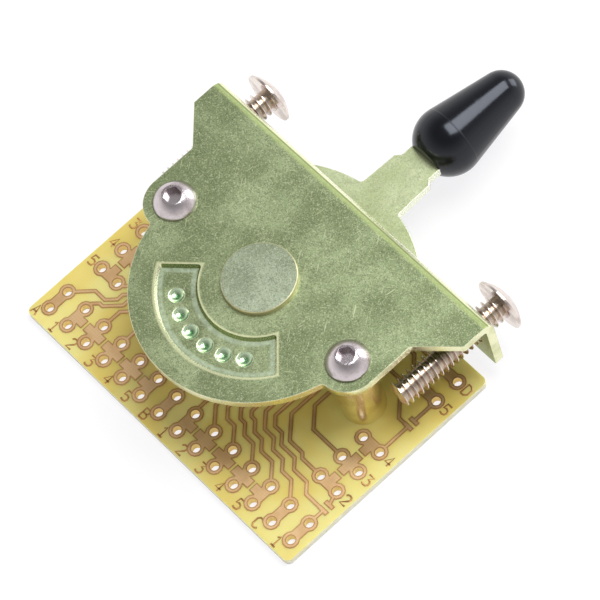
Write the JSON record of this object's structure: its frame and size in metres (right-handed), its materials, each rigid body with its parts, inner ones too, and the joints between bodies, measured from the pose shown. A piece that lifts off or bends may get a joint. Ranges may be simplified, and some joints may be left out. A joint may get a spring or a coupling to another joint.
{
  "type": "guitar pickup selector switch",
  "caption": "Lever-operated rotary selector switch: a bent steel frame with a detent track, a lever with a moulded tip, and a printed circuit board on spacers behind it",
  "frame": {"origin": "the centre of the lever slot in the outer face of the frame's mounting flange", "axes": "+X along the flange, +Y out of the flange towards the lever's tip, +Z out of the frame's face; the switch lies on the back of its circuit board as in the picture"},
  "size_m": [0.0482, 0.0607, 0.0139],
  "materials": {
    "zinc_frame": "olive-green zinc passivate, satin with a fine speckle",
    "zinc_rivet": "paler grey-green zinc passivate, satin",
    "board": "pale yellow fibreglass laminate, semi-gloss",
    "lever_steel": "light yellow-green zinc passivate, satin",
    "tip": "gloss black",
    "rotor": "natural moulding, matt",
    "spring_steel": "bright spring steel",
    "spacer": "nickel over brass, bright",
    "bright_steel": "nickel plate, bright",
    "copper": "bare copper foil, satin",
    "contact_metal": "phosphor bronze, satin"
  },
  "bodies": {
    "frame": {"frame_plate": "zinc_frame", "pivot_pin": "zinc_rivet", "circuit_board": "board", "copper_a": "copper", "copper_b": "copper", "copper_c": "copper", "copper_d": "copper", "spacer_left": "spacer", "board_screw_left": "bright_steel", "mounting_screw_left": "bright_steel", "spacer_right": "spacer", "board_screw_right": "bright_steel", "mounting_screw_right": "bright_steel"},
    "lever": {"lever_plate": "lever_steel", "lever_tip": "tip", "rotor": "rotor", "wiper_a": "contact_metal", "wiper_b": "contact_metal", "wiper_c": "contact_metal", "wiper_d": "contact_metal", "detent_spring": "spring_steel", "spring_rivet_left": "spring_steel", "spring_rivet_right": "spring_steel"}
  },
  "joints": [
    {"name": "lever_pivot", "type": "hinge", "parent": "frame", "child": "lever", "pos_m": [0, -0.015, 0], "axis": [0, 0, 1], "range_deg": [-30, 30], "deforming": ["detent_spring"]}
  ]
}
